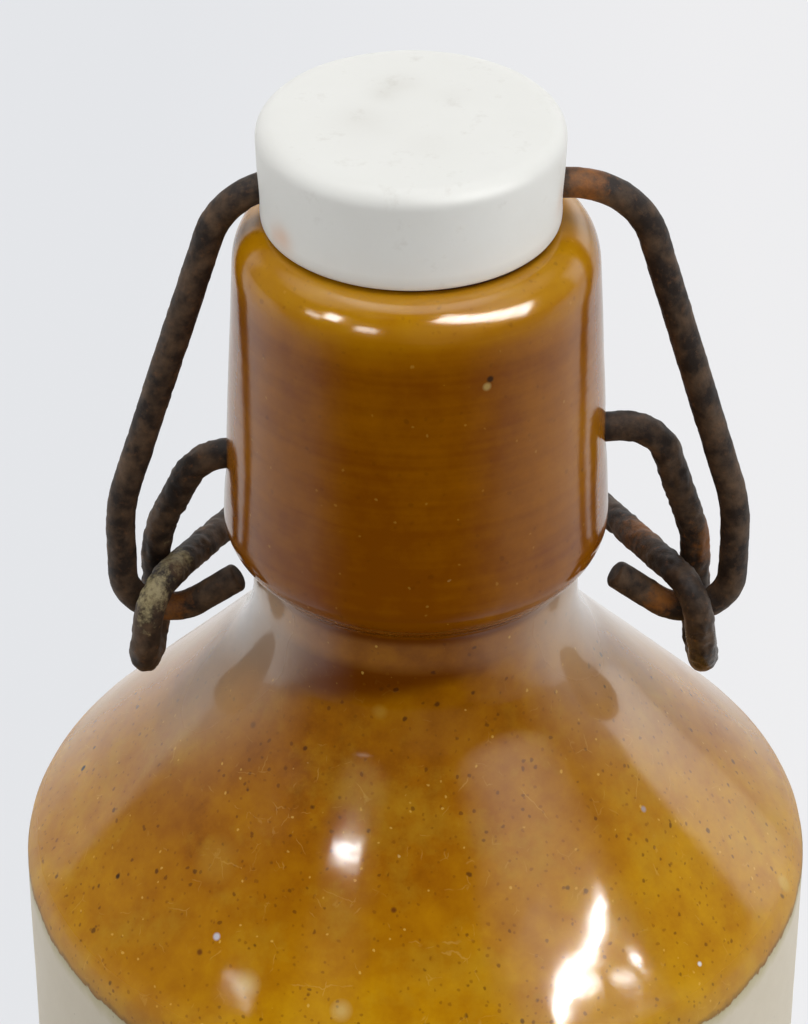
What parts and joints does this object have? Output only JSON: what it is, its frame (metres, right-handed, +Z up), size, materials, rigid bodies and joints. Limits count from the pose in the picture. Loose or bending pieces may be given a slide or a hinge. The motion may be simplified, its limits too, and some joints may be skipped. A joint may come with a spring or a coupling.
{
  "type": "swing top bottle",
  "caption": "Stoneware swing top bottle: brown-glazed collar and shoulder, cream body, and a porcelain stopper held by a wire bail and a pivoted wire lever.",
  "frame": {"origin": "centre of the base, on the surface that the bottle stands on", "axes": "+Z up along the bottle's axis, X along the lever's pivot line, +Y towards the side on which the closed thumb loop lies"},
  "size_m": [0.078, 0.078, 0.2005],
  "materials": {
    "glazed_stoneware": "salt-glazed stoneware, glossy brown glaze on collar, neck and shoulder over a cream glaze on the body",
    "rusted_iron_wire": "drawn iron wire, dark and pitted with rust",
    "white_porcelain": "white glazed porcelain with faint stains",
    "aged_red_rubber": "perished red rubber, dull"
  },
  "bodies": {
    "bottle": {"bottle": "glazed_stoneware"},
    "lever": {"closing_lever": "rusted_iron_wire"},
    "bail": {"stopper_bail": "rusted_iron_wire"},
    "stopper": {"stopper": "white_porcelain", "rubber_ring": "aged_red_rubber"}
  },
  "joints": [
    {"name": "lever_pivot", "type": "hinge", "parent": "bottle", "child": "lever", "pos_m": [0, 0, 0.16599], "axis": [0.9965, 0, 0.0837], "range_deg": [0, 100]},
    {"name": "bail_pivot", "type": "hinge", "parent": "lever", "child": "bail", "pos_m": [0, -0.0015, 0.14779], "axis": [1, 0, 0], "range_deg": [-61, 0]},
    {"name": "stopper_pivot", "type": "hinge", "parent": "bail", "child": "stopper", "pos_m": [0, 0, 0.19379], "axis": [1, 0, 0], "range_deg": [-41, 0]}
  ],
  "couplings": [
    {"joint": "bail_pivot", "follows": "lever_pivot", "ratio": -0.6032},
    {"joint": "stopper_pivot", "follows": "lever_pivot", "ratio": -0.3968}
  ]
}
